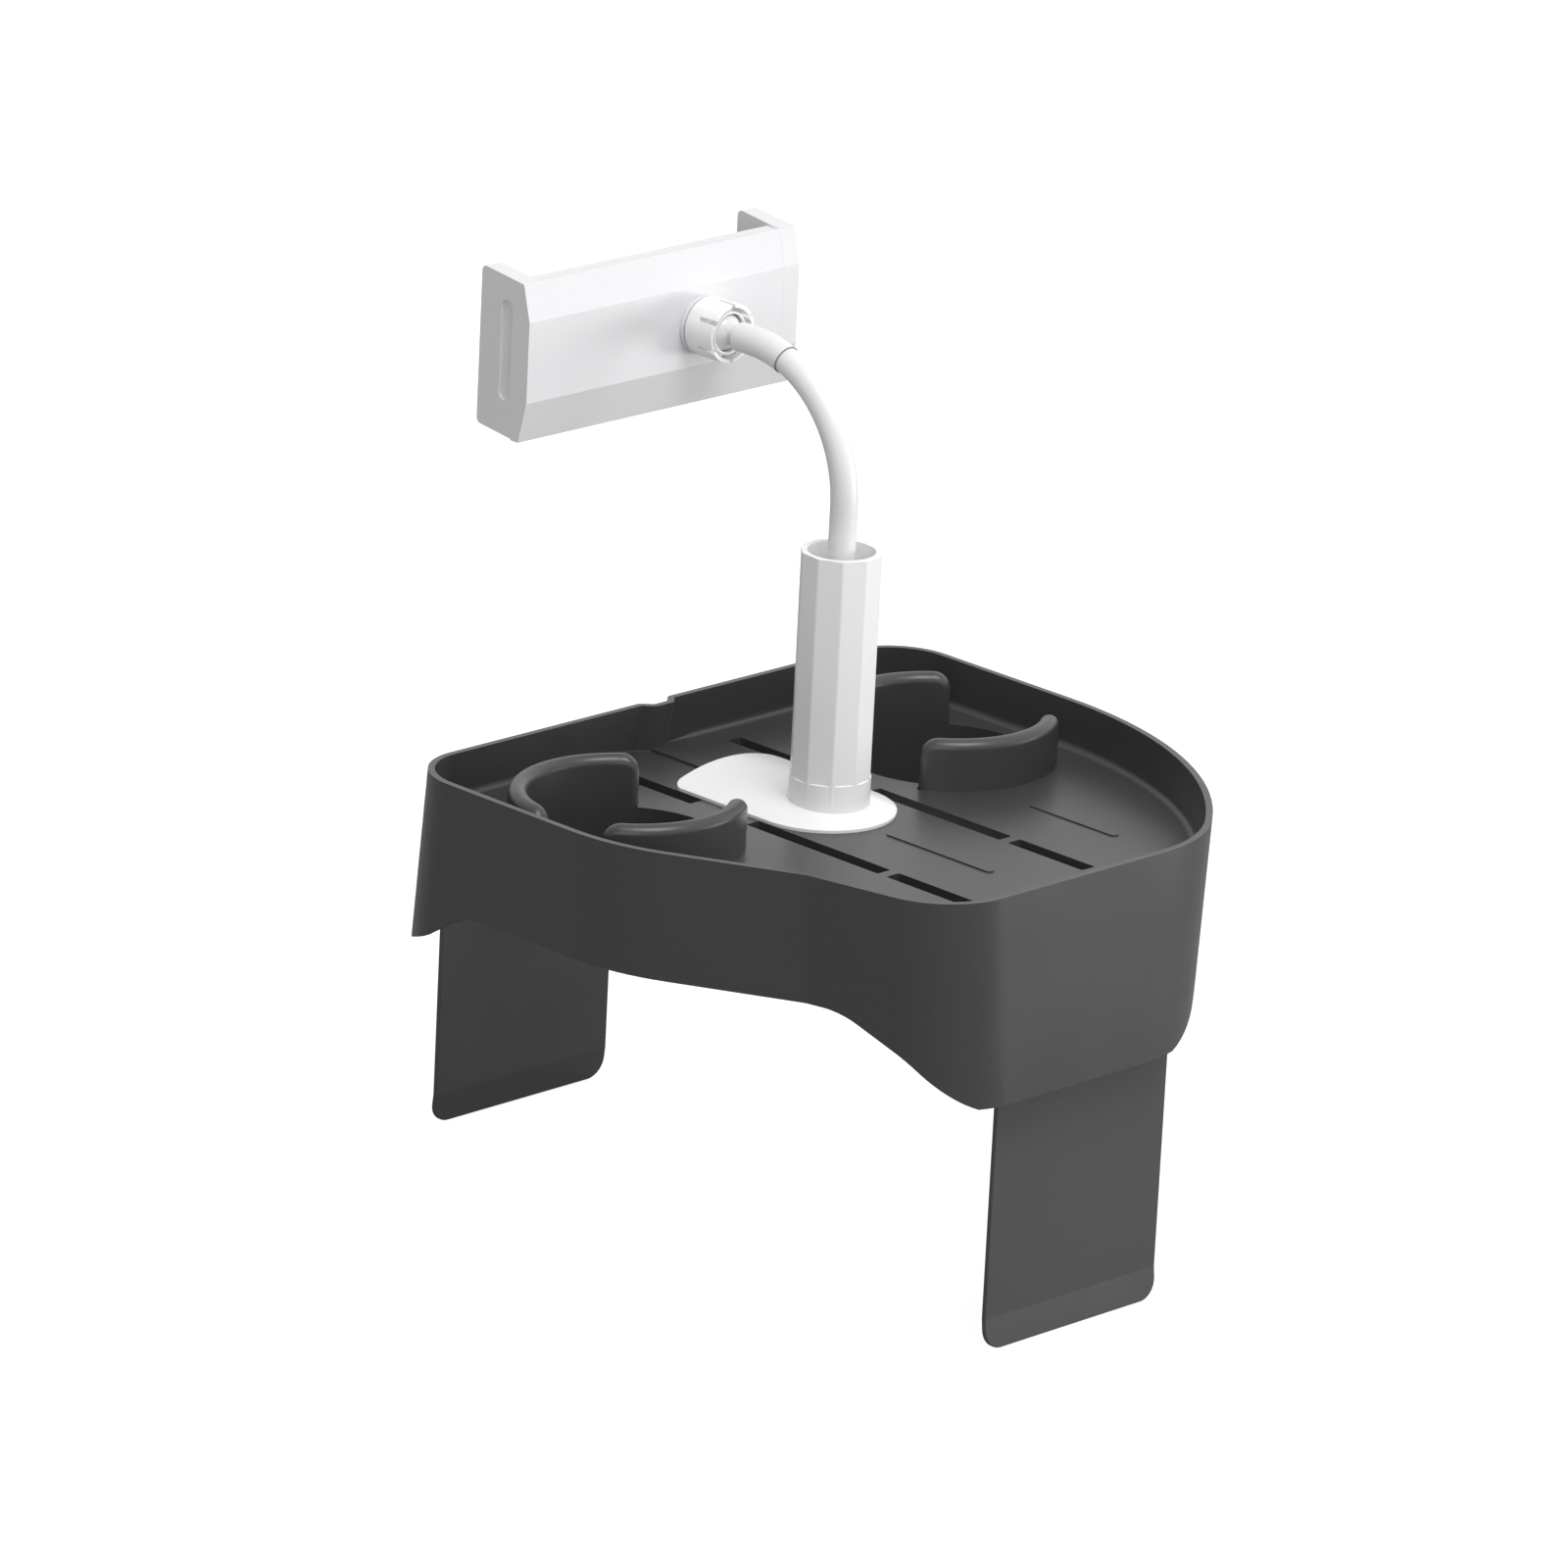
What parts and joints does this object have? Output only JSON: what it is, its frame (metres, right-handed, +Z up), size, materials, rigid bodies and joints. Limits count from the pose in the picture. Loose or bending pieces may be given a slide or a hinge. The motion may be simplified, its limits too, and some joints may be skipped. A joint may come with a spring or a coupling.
{
  "type": "hot tub tray",
  "caption": "Rimmed side tray with two sunk cup rings, drain slots, a phone clamp on a bent neck, and sliding leg brackets that straddle a tub wall.",
  "frame": {"origin": "middle of the footprint, at the level of the feet", "axes": "+Z up, +Y towards the wide end and the holder's jaws, +X across the tray towards its long swept side"},
  "size_m": [0.2996, 0.3556, 0.4158],
  "materials": {
    "tray_plastic": "fine-grained charcoal moulded plastic",
    "leg_plate": "smooth charcoal moulded plastic",
    "white_plastic": "glossy white moulded plastic",
    "white_neck": "satin white sleeve over a bendable core",
    "jaw_rubber": "soft pale grip pads",
    "screw_steel": "plain stainless steel"
  },
  "bodies": {
    "tray": {"tray_body": "tray_plastic", "left_rail": "tray_plastic", "right_rail": "tray_plastic", "rail_screws": "screw_steel", "post_base": "white_plastic", "base_screws": "screw_steel", "post_tube": "white_plastic", "neck_plug": "white_plastic", "neck_ferrule": "white_plastic", "gooseneck_arm": "white_neck", "neck_sleeve": "white_plastic"},
    "narrow_bracket": {"narrow_leg": "leg_plate"},
    "wide_bracket": {"wide_leg": "leg_plate"},
    "ball": {"ball_stud": "white_plastic"},
    "holder": {"ball_socket": "white_plastic", "locking_nut": "white_plastic", "holder_housing": "white_plastic", "holder_cover": "white_plastic", "left_jaw_pad": "jaw_rubber"},
    "jaw": {"sliding_jaw": "white_plastic", "guide_rods": "screw_steel", "right_jaw_pad": "jaw_rubber"}
  },
  "joints": [
    {"name": "narrow_leg_slide", "type": "slide", "parent": "tray", "child": "narrow_bracket", "axis": [0, 1, 0], "range_m": [0, 0.05]},
    {"name": "wide_leg_slide", "type": "slide", "parent": "tray", "child": "wide_bracket", "axis": [0, -1, 0], "range_m": [0, 0.055]},
    {"name": "holder_roll", "type": "hinge", "parent": "tray", "child": "ball", "pos_m": [0, 0.07215, 0.3799], "axis": [0, 1, 0], "range_deg": [-180, 180]},
    {"name": "holder_tilt", "type": "hinge", "parent": "ball", "child": "holder", "pos_m": [0, 0.07215, 0.3799], "axis": [1, 0, 0], "range_deg": [-25, 25]},
    {"name": "jaw_slide", "type": "slide", "parent": "holder", "child": "jaw", "axis": [1, 0, 0], "range_m": [0, 0.03], "stiffness_N_per_m": 150, "springref_m": -0.02}
  ]
}
